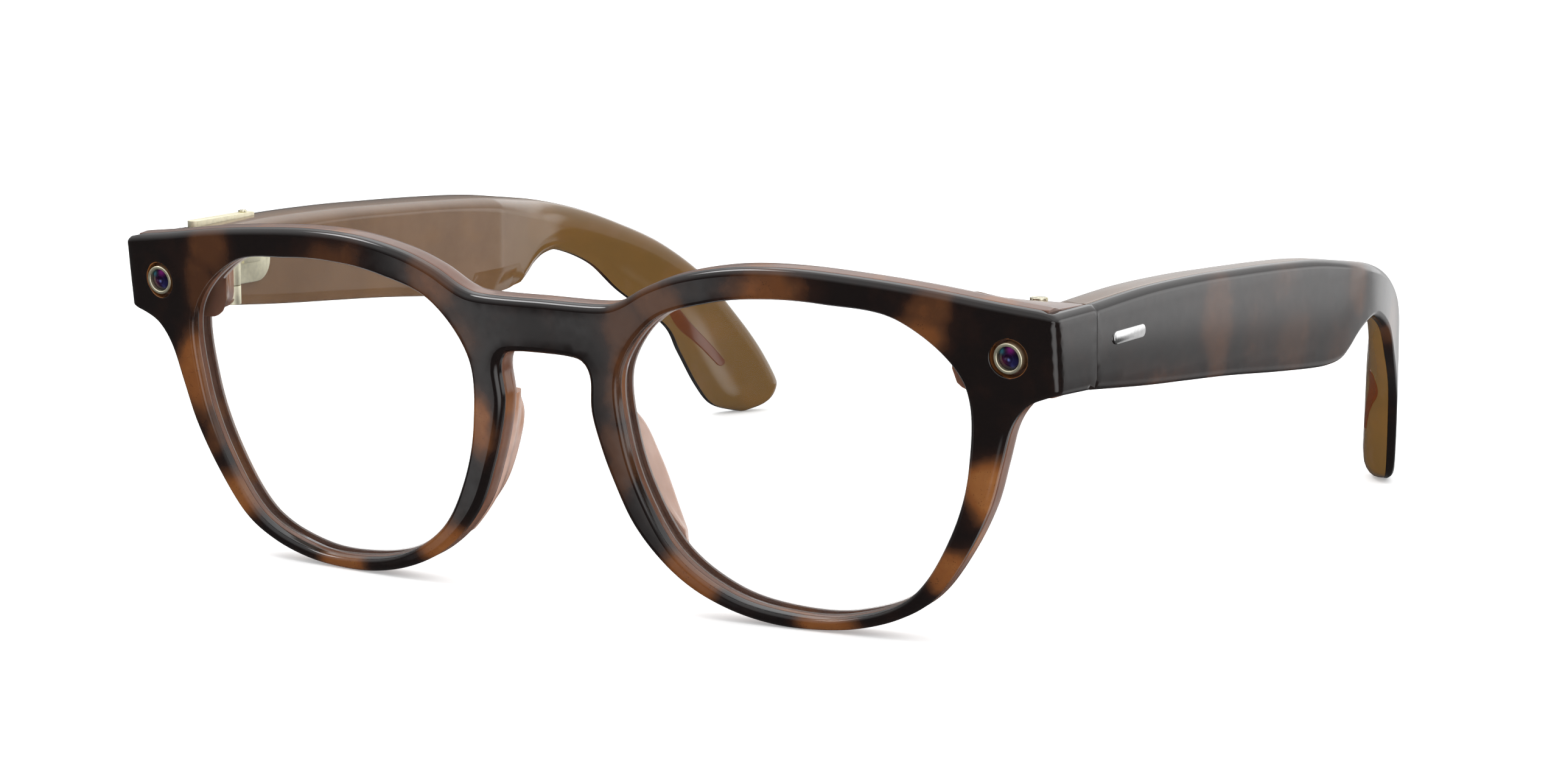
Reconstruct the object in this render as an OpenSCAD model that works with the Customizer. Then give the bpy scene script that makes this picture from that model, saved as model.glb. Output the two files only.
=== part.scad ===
// Smart glasses with a camera, open-ear speakers and folding temples.
// Millimetres. +Z up, +X to the wearer's left, front faces -Y.
// Origin: centre of the footprint, on the surface that the glasses stand on.

/* [Front] */
// Thickness of the front, both layers together
front_t = 5.2; // [5:0.1:5.4]
// Thickness of the dark outer layer, on the front and on the temples
skin_t = 1.6; // [1.4:0.1:1.7]
// Radius that the front wraps round the face
wrap_r = 459; // [440:1:520]
// Forward lean of the lens plane, in degrees
lean = 7.14; // [6.5:0.02:7.5]
// Half of the distance between the outer flanks
flank_x = 73.3; // [73:0.1:73.6]

/* [Lenses] */
// Distance from bridge centre to lens centre
lens_x = 36.5; // [36.4:0.1:36.6]
// Lens thickness
lens_t = 1.8; // [1.5:0.1:2]
// Depth of the lens behind the front face
lens_depth = 2.4; // [2.2:0.1:2.6]
// How far the lens edge reaches into its groove
lens_bite = 0.7; // [0.5:0.1:0.8]

/* [Camera and capture light] */
// Sideways place of the camera and of the capture light
eye_x = 66.95; // [66.5:0.05:67.2]
// Height of the camera and of the capture light above the lens centres
eye_z = 15.2; // [15:0.1:15.4]
// Diameter of the recess in the outer layer
recess_d = 5.0; // [4.8:0.1:5.2]
// Outer diameter of the metal ring
ring_d = 4.0; // [3.8:0.1:4.1]
// Inner diameter of the metal ring
ring_bore = 3.1; // [3:0.1:3.2]

/* [Hinge] */
// Sideways place of the hinge axis
pivot_x = 64.5; // [64.4:0.1:64.6]
// Distance of the hinge axis behind the bridge
pivot_y = 15.7; // [15.6:0.1:15.8]
// Radius of the hinge knuckles
knuckle_r = 1.4; // [1.3:0.1:1.4]
// Diameter of the hinge screw's shank
screw_d = 1.4; // [1.2:0.1:1.5]
// Running clearance, on the radius, of the hinge screw
screw_gap = 0.05; // [0.03:0.01:0.08]

/* [Temples] */
// Plane where the temples meet the end pieces
joint_y = 14.6; // [14.5:0.1:14.7]
// Gap between end piece and temple
joint_gap = 0.15; // [0.1:0.01:0.2]
// Place where the temple starts to bend inwards
bend_y = 90; // [88:1:92]
// How fast the temple bends inwards, in millimetres per square millimetre
bend_k = 0.0052; // [0.005:0.0001:0.0054]
// Greatest thickness of a temple
temple_t = 7.8; // [7.6:0.1:8]

/* [Controls] */
// Travel of the capture button
button_travel = 0.4; // [0.3:0.1:0.5]
// Length of the capture button
button_l = 13.5; // [12.5:0.5:13.5]
// Width of the capture button
button_w = 1.8; // [1.7:0.05:1.8]
// How far the capture button stands proud
button_proud = 0.7; // [0.6:0.1:0.9]
// Travel of the power slider
slider_travel = 2.0; // [1.5:0.1:2]

/* [Hidden] */

stand_h = 22.35;      // lens centre line above the surface
mid_y = 72.3;         // bridge to the middle of the footprint
fit = 0.05;           // play round a piece that is let in
ink = "#2a211d";
rose = "#8f6a5a";
umber = "#6f5a48";
gold = "#d8d4b0";

// Half of the front's outline: brow, outer flank, lower rim, keyhole. [x, z] from the bridge.
brow = [[0, 18.5], [9, 18.5], [12.5, 19.2], [17, 21.6], [22.5, 23.5], [30, 24.8], [38, 25],
        [47, 24.4], [56, 23.4], [65, 22], [flank_x, 20.8]];
rim = [[flank_x - 0.4, 10.4], [70.6, 9.8], [68.2, 8.5], [66.2, 5.6], [64.6, 0.5], [62.8, -5],
       [59.5, -11.2], [55, -17.2], [50, -20.3], [44, -22.1], [38, -22.7], [32, -22.5],
       [26, -21.2], [20.5, -18.8], [16, -15.3], [12.2, -10.6], [9.6, -4.8], [8, 0], [7.1, 4.3],
       [7.3, 8.6], [6.3, 10.7], [4, 11.3], [0, 11.4]];
// The stretch of the outline that the nose pad lies against.
nose_edge = [[7.1, 4], [8, 0], [9.6, -4.8], [12.2, -10.6], [15, -14.3]];
pad_front = 2.2;      // depth where the pad starts, behind the front face
pad_t = 1.4;          // thickness of the pad beside the rim
pad_step = 2.1;       // height of each of the pad's two steps behind the rim
// Lens opening, [x, z] from its own centre.
opening = [[24.3, 0.6], [24.2, 11.7], [16, 19.2], [5.8, 20.8], [-2.6, 21], [-10.6, 20],
           [-19, 17.1], [-24.6, 9.8], [-24.5, 0.6], [-22.1, -7.5], [-17.8, -14.5],
           [-10.7, -19.1], [-2.6, -20.9], [6.3, -20.7], [15.3, -17.2], [21.1, -9.1]];
// Temple seen from the side, [y, z]: top edge, then lower edge from tip to hinge.
temple_top = [[joint_y + joint_gap, 21.4], [30, 21.8], [45, 21.5], [57, 20.9], [69, 20.2],
              [82, 19.2], [92, 17.9], [101, 16.5], [110, 14.3], [118, 11.4], [126, 7.5],
              [133.4, 1.7], [138.7, -4.6], [143, -10.5], [146.1, -16.2], [146.5, -18.7],
              [144.8, -21.2], [141, -22.3]];
temple_low = [[141, -22.3], [136.9, -20.8], [134.1, -17.2], [131, -11.4], [128.2, -6.5],
              [119.5, -0.1], [113.5, 5], [106, 8], [100.9, 7.8], [96.8, 6.6], [94, 5.2],
              [91.3, 4.1], [88, 3.8], [82.7, 4], [70, 5.2], [55, 6.8], [42.6, 7.9], [30, 9],
              [joint_y + joint_gap, 10.6]];
// Thickness of the temple along its length, [y, thickness].
temple_depth = [[joint_y + joint_gap, temple_t], [84, temple_t], [92, 6.6], [100, 4.9],
                [106, 4.2], [116, 4.2], [126, 4.8], [136, 5.2], [149, 4.4]];
// Electronics bay of a temple, [y, z].
bay = [[19, 12], [60, 8.8], [86, 6.6], [86, 16.4], [60, 18], [19, 19.4]];
bay_x = 67.2;         // inner wall of the bay
// Slit in the temple tip that shows the core, ends as [y, z].
core_from = [127.2, -3.9];
core_to = [135, -13.2];
core_w = 1.3;
// Middle line of the flex ribbon along the brow, [x, z] from the bridge.
ribbon = [[0, 15.2], [8, 15.4], [12, 16.9], [17, 19.7], [24, 21.9], [34, 22.9], [44, 22.6],
          [54, 20.9], [61, 19]];

// A point of the smooth curve through a, b, c and d, between b and c.
function between(a, b, c, d, t) =
    0.5 * (2 * b + (c - a) * t + (2 * a - 5 * b + 4 * c - d) * t * t
           + (3 * b - 3 * c + d - a) * t * t * t);
// Smooth open curve through the points, n steps a stretch.
function curve(p, n) = concat(
    [for (i = [0 : len(p) - 2], j = [0 : n - 1])
        between(p[max(i - 1, 0)], p[i], p[i + 1], p[min(i + 2, len(p) - 1)], j / n)],
    [p[len(p) - 1]]);
// Smooth closed curve through the points.
function loop(p, n) = let (m = len(p))
    [for (i = [0 : m - 1], j = [0 : n - 1])
        between(p[(i + m - 1) % m], p[i], p[(i + 1) % m], p[(i + 2) % m], j / n)];
function reversed(p) = [for (i = [len(p) - 1 : -1 : 0]) p[i]];
function flipped(p) = [for (q = p) [-q[0], q[1]]];
// The open line moved d to its left as it runs.
function beside(p, d) = [for (i = [0 : len(p) - 1])
    let (t = p[min(i + 1, len(p) - 1)] - p[max(i - 1, 0)]) p[i] + d * [-t[1], t[0]] / norm(t)];
function outward(p, d) = [for (q = p) q * (norm(q) + d) / norm(q)];
function outer_x(y) = flank_x - bend_k * pow(max(y - bend_y, 0), 2);

half_front = concat(curve(brow, 3), curve(rim, 3));
bend_steps = concat([joint_y + joint_gap, bend_y], [for (y = [94 : 4 : 150]) y]);
depth_steps = concat([[joint_y + joint_gap, temple_t], [60, temple_t]],
                     [for (q = curve([for (i = [1 : 8]) temple_depth[i]], 2)) q]);
temple_side = concat(curve(temple_top, 2), curve(temple_low, 2));

module placed() translate([0, -mid_y, stand_h]) children();
module leaned() placed() rotate([lean, 0, 0]) children();
module both() {
    children();
    mirror([1, 0, 0]) children();
}
// 2D [x, z] shape run from y0 to y1.
module along_y(y0, y1) translate([0, y1, 0]) rotate([90, 0, 0]) linear_extrude(y1 - y0) children();
// 2D [y, z] shape run from x0 to x1.
module along_x(x0, x1) translate([x0, 0, 0]) rotate([90, 0, 90]) linear_extrude(x1 - x0) children();
// 2D [x, y] shape run from z0 to z1.
module along_z(z0, z1) translate([0, 0, z0]) linear_extrude(z1 - z0) children();
module block(lo, hi) translate(lo) cube(hi - lo);

// The front's wrapped layer between two depths behind the front face.
module layer(near, far) difference() {
    translate([0, wrap_r, -40]) cylinder(r = wrap_r - near, h = 80, $fn = 360);
    translate([0, wrap_r, -41]) cylinder(r = wrap_r - far, h = 82, $fn = 360);
}
module wrapped(near, far) intersection() {
    layer(near, far);
    along_y(-5, 30) children();
}
module front_shape() polygon(concat(half_front, reversed(flipped(half_front))));
module opening_shape(grow) translate([lens_x, 0]) polygon(loop(outward(opening, grow), 4));
module rod(r, z0, z1) translate([pivot_x, pivot_y, z0]) cylinder(r = r, h = z1 - z0, $fn = 48);
// Straight stretch with round ends, from a to b.
module slot_shape(a, b, w) let (d = b - a, l = norm(d)) {
    translate(a) circle(d = w, $fn = 32);
    translate(b) circle(d = w, $fn = 32);
    translate(a) rotate(atan2(d[1], d[0])) translate([0, -w / 2]) square([l, w]);
}
// A cylinder along -Y at the camera's place, between two depths.
module eye(d, near, far) translate([eye_x, far, eye_z]) rotate([90, 0, 0])
    cylinder(d = d, h = far - near, $fn = 64);
face_y = eye_x * eye_x / 2 / wrap_r;   // front face at the camera, behind the bridge

// ---- Front -----------------------------------------------------------------------------

// End piece seen from the side, from y0 back to the joint.
module end_side(y0) along_x(55, flank_x) difference() {
    polygon([[y0, 21.4], [joint_y, 21.4], [joint_y, 10.7], [y0 + 1.2, 11]]);
    translate([joint_y - 1, 9.7]) difference() {
        square([1.5, 2]);
        translate([0, 2]) circle(r = 1, $fn = 48);
    }
}
module front_outer_layer() color(ink) difference() {
    union() {
        leaned() wrapped(0, skin_t) front_shape();
        placed() both() intersection() {
            end_side(4);
            block([flank_x - skin_t, 3, 5], [flank_x, 20, 25]);
        }
    }
    leaned() both() {
        along_y(-5, 30) opening_shape(0);
        eye(recess_d, -5, face_y + skin_t + 0.6);
    }
}

// Room inside each end piece for the camera or the light.
module eye_room() {
    eye(ring_d + 2 * fit, face_y - 2, face_y + 4.3);
    block([eye_x - 3.3, face_y + 4.2, eye_z - 3.5], [eye_x + 3.3, face_y + 8, eye_z + 3.5]);
}
module end_block() difference() {
    intersection() {
        end_side(5.2);
        along_z(5, 25) polygon([[58.5, 6], [60.5, 9.2], [62.2, 11.4], [62.6, joint_y],
                                [flank_x - skin_t, joint_y], [flank_x - skin_t, 6]]);
    }
    rod(knuckle_r + 0.3, 5, 30);
    block([62, joint_y - 0.9, 11.9], [69.6, joint_y + 1, 20.1]);
}
module half_band(w) let (line = curve(ribbon, 3))
    polygon(concat(beside(line, w / 2), reversed(beside(line, -w / 2))));
module brow_band(near, far, w) wrapped(near, far) {
    half_band(w);
    mirror([1, 0]) half_band(w);
}
module front_inner_layer() color(rose) difference() {
    union() {
        leaned() wrapped(skin_t, front_t) intersection() {
            front_shape();
            square([2 * (flank_x - skin_t), 60], center = true);
        }
        placed() both() end_block();
    }
    leaned() {
        both() {
            along_y(-5, 30) opening_shape(0);
            wrapped(lens_depth - fit, lens_depth + lens_t + fit) opening_shape(lens_bite + fit);
            eye_room();
            wrapped(pad_front - fit, front_t + 1) pad_band(-3, pad_t + fit);
        }
        brow_band(2.55, 3.25, 1.1);
        block([-1.5, 2.1, 12.5], [1.5, 3.6, 14.2]);
        block([-5.2, 4.4, 13.4], [5.2, 8, 17.2]);
    }
}
module lens() color([0.85, 0.9, 0.92, 0.35]) leaned()
    wrapped(lens_depth, lens_depth + lens_t) opening_shape(lens_bite);
module lens_left() lens();
module lens_right() mirror([1, 0, 0]) lens();

// Band beside the nose edge, from a to b away from the nose.
module pad_band(a, b) let (edge = curve(nose_edge, 3))
    polygon(concat(beside(edge, a), reversed(beside(edge, b))));
module nose_pad() color("#a58a7a") leaned() {
    wrapped(pad_front, front_t) pad_band(0.1, pad_t);
    wrapped(front_t, front_t + pad_step) pad_band(0.6, 2.8);
    wrapped(front_t + pad_step, front_t + 2 * pad_step) pad_band(1.1, 2.2);
}
module nose_pad_left() nose_pad();
module nose_pad_right() mirror([1, 0, 0]) nose_pad();

module ring() color(gold) leaned() difference() {
    eye(ring_d, face_y - 0.1, face_y + 2.6);
    eye(ring_bore, face_y - 2, face_y + 5);
}
module camera_ring() ring();
module light_ring() mirror([1, 0, 0]) ring();

// Domed window inside a ring.
module window(tint) color(tint) leaned() intersection() {
    eye(ring_bore - 2 * fit, face_y - 0.1, face_y + 1.5);
    translate([eye_x, face_y + 3.1, eye_z]) sphere(r = 3, $fn = 96);
}
module camera_cover() window("#1c1030");
module light_window() mirror([1, 0, 0]) window("#1c1030");

module camera_module() color("#202024") leaned() {
    eye(ring_bore - 0.3, face_y + 1.6, face_y + 4.5);
    block([eye_x - 3, face_y + 4.4, eye_z - 3.2], [eye_x + 3, face_y + 7.8, eye_z + 3.2]);
}
module light_led() color("#e8e8e0") mirror([1, 0, 0]) leaned() {
    eye(ring_bore - 0.6, face_y + 1.6, face_y + 4.5);
    block([eye_x - 2, face_y + 4.4, eye_z - 2], [eye_x + 2, face_y + 5.4, eye_z + 2]);
}
module brow_flex() color("#b5651d") leaned() brow_band(2.7, 3.1, 0.8);
module bridge_microphone() color("silver") leaned()
    block([-1.4, 2.2, 12.6], [1.4, 3.5, 14.1]);
module contact_holder() color("#232325") leaned() difference() {
    block([-5, 4.5, 13.6], [5, front_t + 0.2, 17]);
    for (x = [-3, 0, 3]) translate([x, 4.9, 15.3]) rotate([-90, 0, 0])
        cylinder(r = 0.85, h = 3, $fn = 32);
}
module charge_contacts() color(gold) leaned()
    for (x = [-3, 0, 3]) translate([x, 4.95, 15.3]) rotate([-90, 0, 0])
        cylinder(r = 0.8, h = front_t - 4.75, $fn = 32);

// ---- Hinges ----------------------------------------------------------------------------

leaf_t = 0.8;
knuckles = [[11, 13.6], [18.4, 21]];
module screw_bore() rod(screw_d / 2 + screw_gap, 5, 30);
module hinge_front() color(gold) placed() difference() {
    union() {
        for (k = knuckles) {
            rod(knuckle_r, k[0], k[1]);
            block([pivot_x, joint_y - leaf_t, max(k[0], 12)],
                  [pivot_x + knuckle_r, pivot_y, min(k[1], 20)]);
        }
        block([pivot_x - 1, joint_y - leaf_t, 12], [69.5, joint_y - 0.05, 20]);
    }
    screw_bore();
    rod(knuckle_r + 0.1, knuckles[0][1], knuckles[1][0]);
}
module hinge_front_left() hinge_front();
module hinge_front_right() mirror([1, 0, 0]) hinge_front();
module hinge_screws() color("#e2dfc4") placed() both() difference() {
    union() {
        rod(screw_d / 2, 10.9, 21.1);
        rod(1.15, 21.05, 21.6);
    }
    block([pivot_x - 2, pivot_y - 0.15, 21.35], [pivot_x + 2, pivot_y + 0.15, 22]);
}

// Hinge plate on the temple's inner face, [y, z], with one round corner.
plate_y = [17.4, 25.2];
plate_z = [13.4, 20.4];
module plate_shape(grow) difference() {
    translate([plate_y[0] - grow, plate_z[0] - grow])
        square([plate_y[1] - plate_y[0] + 2 * grow, plate_z[1] - plate_z[0] + 2 * grow]);
    translate([plate_y[1] - 3, plate_z[0] + 3]) difference() {
        translate([0, -4]) square([4, 4]);
        circle(r = 3 + grow, $fn = 64);
    }
}
inner_x = flank_x - temple_t;
plate_screw_at = [23.8, 18.9];
module plate_hole(length) translate([inner_x, plate_screw_at[0], plate_screw_at[1]])
    rotate([0, 90, 0]) cylinder(d = 1.3, h = length, center = true, $fn = 32);
module hinge_temple() color(gold) placed() difference() {
    union() {
        rod(knuckle_r, 13.7, 18.3);
        block([pivot_x + 0.3, pivot_y, 13.7], [inner_x + 0.2, plate_y[0] + 0.5, 18.3]);
        along_x(inner_x - 0.6, inner_x + 0.2) plate_shape(0);
        along_x(inner_x - 0.9, inner_x) translate([18.9, 16.3]) square([3.7, 2.6]);
    }
    screw_bore();
    plate_hole(4);
}
module hinge_temple_left() hinge_temple();
module hinge_temple_right() mirror([1, 0, 0]) hinge_temple();
module plate_screw() color("#e2dfc4") placed()
    translate([inner_x - 0.9, plate_screw_at[0], plate_screw_at[1]]) rotate([0, 90, 0]) difference() {
        union() {
            cylinder(d = 1.9, h = 0.28, $fn = 48);
            cylinder(d = 1.2, h = 2.2, $fn = 48);
        }
        block([-2, -0.15, -1], [2, 0.15, 0.15]);
    }
module plate_screw_left() plate_screw();
module plate_screw_right() mirror([1, 0, 0]) plate_screw();

// ---- Temples ---------------------------------------------------------------------------

module outer_band() polygon(concat([for (y = bend_steps) [outer_x(y), y]],
                                   reversed([for (y = bend_steps) [outer_x(y) - skin_t, y]])));
module inner_band(from, to) polygon(concat([for (y = bend_steps) [outer_x(y) - from, y]],
    reversed([for (q = depth_steps) [outer_x(q[0]) - q[1] + to, q[0]]])));
inlay_y = [20, 27];
inlay_z = 16.6;
module inlay_shape(grow) slot_shape([inlay_y[0], inlay_z], [inlay_y[1], inlay_z], 1.7 + grow);
module temple_outer() color(ink) placed() difference() {
    intersection() {
        along_x(40, 80) polygon(temple_side);
        along_z(-30, 30) outer_band();
    }
    along_x(flank_x - 0.6, 80) inlay_shape(0.1);
}
module core_shape(w, deep) intersection() {
    along_x(50, 70) slot_shape(core_from, core_to, w);
    along_z(-30, 10) polygon(concat(
        [for (y = [120 : 4 : 144]) let (q = depth_at(y)) [outer_x(y) - q - 1, y]],
        reversed([for (y = [120 : 4 : 144]) let (q = depth_at(y)) [outer_x(y) - q + deep, y]])));
}
function depth_at(y) = lookup(y, temple_depth);
module vents() for (i = [0 : 2])
    along_y(40 + 3.5 * i, 42 + 3.5 * i) translate([69.4, 0]) square([0.9, 26], center = true);
module temple_inner() color(umber) placed() difference() {
    intersection() {
        along_x(40, 80) polygon(temple_side);
        along_z(-30, 30) inner_band(skin_t, 0);
    }
    along_x(bay_x, flank_x - skin_t + 1) polygon(bay);
    rod(knuckle_r + 0.3, 0, 30);
    along_x(inner_x - 3, inner_x + 0.25) plate_shape(0.05);
    block([60, pivot_y - 2, 13.6], [inner_x + 0.25, plate_y[0] + 1, 18.4]);
    plate_hole(5);
    core_shape(core_w + 0.1, 1);
    intersection() {
        vents();
        block([60, 0, 0], [80, 100, 12]);
    }
    children();
}

// Sealed parts in the bay.
module bay_part(y0, y1, z0, z1, x0, x1) placed() block([x0, y0, z0], [x1, y1, z1]);
module speaker() color("#3a3a3d") bay_part(39.5, 50.5, 10.4, 17.4, bay_x + 0.1, 70.9);
module microphone() color("silver") bay_part(30, 32.8, 12, 13.6, 69.6, 71.1);
module inlay() color("silver") placed() along_x(flank_x - 0.55, flank_x + 0.2) inlay_shape(0);
module tip_core() color("#6b2e08") placed() difference() {
    intersection() {
        core_shape(core_w, 0.95);
        along_z(-30, 30) inner_band(skin_t, 0.05);
    }
}
module speaker_left() speaker();
module speaker_right() mirror([1, 0, 0]) speaker();
module microphone_left() microphone();
module microphone_right() mirror([1, 0, 0]) microphone();
module inlay_left() inlay();
module inlay_right() mirror([1, 0, 0]) inlay();
module tip_core_left() tip_core();
module tip_core_right() mirror([1, 0, 0]) tip_core();
module temple_outer_left() temple_outer();

// Wearer's left temple: battery and power slider.
slider_y = 30.4;
slider_z = [14.4, 16.2];
module temple_inner_left() temple_inner()
    block([60, slider_y - 0.2, slider_z[0] - 0.1], [bay_x + 1, slider_y + 3.2 + slider_travel, slider_z[1] + 0.1]);
module battery() color("#4a4f58") bay_part(53, 84, 9.6, 16, bay_x + 0.2, 71.2);
module power_switch() color("#27272a") bay_part(28.6, 37.4, 14, 16.6, 69.2, 70.6);
module power_slider() color("#3c332c") {
    bay_part(slider_y, slider_y + 3, slider_z[0], slider_z[1], inner_x - 0.5, bay_x + 0.2);
    bay_part(slider_y - 1, slider_y + 4, slider_z[0] - 0.8, slider_z[1] + 0.8, bay_x + 0.1, bay_x + 0.6);
    bay_part(slider_y + 1, slider_y + 2, slider_z[0] + 0.5, slider_z[1] - 0.5, bay_x + 0.5, 69.1);
}

// Wearer's right temple: board, touch pad and capture button.
button_y = 15.6;
button_x = flank_x - 0.8;
button_top = 21.6 + button_proud;
cap_low = 20.9;
stem_low = 19.7;
press_gap = 0.03; // left between button and switch at full travel
module button_slot() {
    block([button_x - button_w - 0.1, button_y - 0.1, cap_low - button_travel - 0.1],
          [button_x + 0.1, button_y + button_l + 0.1, 30]);
    block([69.9, 19.9, 19], [flank_x - skin_t - 0.1, 26.1, 21]);
}
module temple_outer_right() mirror([1, 0, 0]) difference() {
    temple_outer();
    placed() button_slot();
}
module temple_inner_right() mirror([1, 0, 0]) temple_inner() button_slot();
module main_board() color("#1f4d2e") mirror([1, 0, 0]) {
    bay_part(52.5, 84, 9.6, 16, 68.3, 69.3);
    bay_part(56, 66, 10.2, 15.4, 69.3, 70.6);
    bay_part(69, 78, 10.2, 15, 69.3, 70.4);
}
module touch_pad() color("#b5651d") mirror([1, 0, 0]) bay_part(34, 76, 11.6, 16.6, 71.3, 71.65);
module capture_switch() color("#27272a") mirror([1, 0, 0]) {
    bay_part(20, 26, 16.6, 18.4, 69.4, 71.5);
    bay_part(22, 24, 18.4, stem_low - button_travel - press_gap, 70.2, 71.4);
}
module capture_button() color(gold) mirror([1, 0, 0]) placed() difference() {
    union() {
        translate([button_x, button_y, 0]) along_z(cap_low, button_top) {
            translate([-button_w / 2, button_w / 2]) circle(d = button_w, $fn = 48);
            translate([-button_w, button_w / 2]) square([button_w, button_l - button_w / 2]);
        }
        block([70, 20, stem_low], [flank_x - skin_t - 0.2, 26, cap_low + 0.1]);
    }
    translate([button_x - button_w / 2, button_y + button_l - 1.6, button_top - 0.6])
        cylinder(d = 0.8, h = 2, $fn = 32);
}
module button_stud() color("#e2dfc4") mirror([1, 0, 0]) placed()
    translate([button_x - button_w / 2, button_y + button_l - 1.6, button_top]) difference() {
        union() {
            cylinder(d = 1.2, h = 0.35, $fn = 48);
            translate([0, 0, -0.5]) cylinder(d = 0.8, h = 0.6, $fn = 32);
        }
        block([-1, -0.12, 0.2], [1, 0.12, 1]);
    }

front_outer_layer();
front_inner_layer();
lens_left();
lens_right();
nose_pad_left();
nose_pad_right();
camera_ring();
camera_cover();
camera_module();
light_ring();
light_window();
light_led();
brow_flex();
bridge_microphone();
contact_holder();
charge_contacts();
hinge_front_left();
hinge_front_right();
hinge_screws();
temple_outer_left();
temple_inner_left();
hinge_temple_left();
plate_screw_left();
speaker_left();
microphone_left();
inlay_left();
tip_core_left();
battery();
power_switch();
power_slider();
temple_outer_right();
temple_inner_right();
hinge_temple_right();
plate_screw_right();
speaker_right();
microphone_right();
inlay_right();
tip_core_right();
main_board();
touch_pad();
capture_switch();
capture_button();
button_stud();
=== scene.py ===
import math

import bmesh
import bpy
import numpy as np
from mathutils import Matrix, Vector, geometry, noise


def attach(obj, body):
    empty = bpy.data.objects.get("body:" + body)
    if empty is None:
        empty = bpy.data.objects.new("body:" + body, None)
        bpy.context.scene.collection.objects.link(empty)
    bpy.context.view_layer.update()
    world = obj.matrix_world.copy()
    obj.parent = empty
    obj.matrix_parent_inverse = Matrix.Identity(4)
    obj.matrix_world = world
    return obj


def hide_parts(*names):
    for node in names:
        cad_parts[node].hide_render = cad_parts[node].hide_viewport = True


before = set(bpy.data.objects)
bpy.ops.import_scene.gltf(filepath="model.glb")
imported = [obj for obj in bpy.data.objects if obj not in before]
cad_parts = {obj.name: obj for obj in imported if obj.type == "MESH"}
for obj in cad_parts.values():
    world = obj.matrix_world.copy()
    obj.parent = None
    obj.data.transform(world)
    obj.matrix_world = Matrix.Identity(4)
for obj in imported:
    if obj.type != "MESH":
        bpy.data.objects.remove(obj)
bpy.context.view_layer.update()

# ---- Design sizes ----------------------------------------------------------------------------

# In millimetres, in the design frame: x from the bridge, y behind it, z from the lens centre
# line. They repeat the CAD model's own driving sizes.
MM = 0.001
MID_Y = 72.3
STAND_H = 22.35
WRAP_R = 459
LEAN = math.radians(7.14)
SKIN_T = 1.6
FRONT_T = 5.2
FLANK_X = 73.3
LENS_X = 36.5
LENS_T = 1.8
LENS_DEPTH = 2.4
LENS_BITE = 0.7
EYE_X = 66.95
EYE_Z = 15.2
EYE_FACE = EYE_X ** 2 / 2 / WRAP_R
RECESS_D = 5.0
RING_D = 4.0
RING_BORE = 3.1
PIVOT = (64.5, 15.7)
JOINT_Y = 14.6
KNUCKLE_ROOM_R = 1.7
BEND_Y = 90
BEND_K = 0.0052
END_Z = (10.7, 21.4)

BROW = [[0, 18.5], [9, 18.5], [12.5, 19.2], [17, 21.6], [22.5, 23.5], [30, 24.8], [38, 25],
        [47, 24.4], [56, 23.4], [65, 22], [FLANK_X, 20.8]]
RIM = [[FLANK_X, 10.4], [70.6, 9.8], [68.2, 8.5], [66.2, 5.6], [64.6, 0.5], [62.8, -5],
       [59.5, -11.2], [55, -17.2], [50, -20.3], [44, -22.1], [38, -22.7], [32, -22.5],
       [26, -21.2], [20.5, -18.8], [16, -15.3], [12.2, -10.6], [9.6, -4.8], [8, 0], [7.1, 4.3],
       [7.3, 8.6], [6.3, 10.7], [4, 11.3], [0, 11.4]]
NOSE_EDGE = [[7.1, 4.3], [8, 0], [9.6, -4.8], [12.2, -10.6], [16, -15.3], [20.5, -18.8]]
OPENING = [[24.3, 0.6], [24.2, 11.7], [16, 19.2], [5.8, 20.8], [-2.6, 21], [-10.6, 20],
           [-19, 17.1], [-24.6, 9.8], [-24.5, 0.6], [-22.1, -7.5], [-17.8, -14.5],
           [-10.7, -19.1], [-2.6, -20.9], [6.3, -20.7], [15.3, -17.2], [21.1, -9.1]]
TEMPLE_TOP = [[14.75, 21.4], [30, 21.8], [45, 21.5], [57, 20.9], [69, 20.2], [82, 19.2],
              [92, 17.9], [101, 16.5], [110, 14.3], [118, 11.4], [126, 7.5], [133.4, 1.7],
              [138.7, -4.6], [143, -10.5], [146.1, -16.2], [146.5, -18.7], [144.8, -21.2],
              [141, -22.3]]
TEMPLE_LOW = [[141, -22.3], [136.9, -20.8], [134.1, -17.2], [131, -11.4], [128.2, -6.5],
              [119.5, -0.1], [113.5, 5], [106, 8], [100.9, 7.8], [96.8, 6.6], [94, 5.2],
              [91.3, 4.1], [88, 3.8], [82.7, 4], [70, 5.2], [55, 6.8], [42.6, 7.9], [30, 9],
              [14.75, 10.6]]
TEMPLE_DEPTH = [[14.75, 7.8], [84, 7.8], [92, 6.6], [100, 4.9], [106, 4.2], [116, 4.2],
                [126, 4.8], [136, 5.2], [149, 4.4]]
CORE = [[127.2, -3.9], [135, -13.2]]


# ---- Curves ----------------------------------------------------------------------------------

def between(a, b, c, d, t):
    """Point of the smooth curve through a, b, c and d, between b and c."""
    return 0.5 * (2 * b + (c - a) * t + (2 * a - 5 * b + 4 * c - d) * t ** 2
                  + (3 * b - 3 * c + d - a) * t ** 3)


def curve(points, steps=12):
    """Smooth open curve through the points."""
    p = np.array(points, float)
    ends = np.vstack([p[:1], p, p[-1:]])
    line = [between(*ends[i:i + 4], j / steps) for i in range(len(p) - 1) for j in range(steps)]
    return np.array(line + [p[-1]])


def loop(points, steps=12):
    """Smooth closed curve through the points."""
    p = np.array(points, float)
    around = [np.roll(p, 1 - k, axis=0) for k in range(4)]
    return np.array([between(*(a[i] for a in around), j / steps)
                     for i in range(len(p)) for j in range(steps)])


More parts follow.
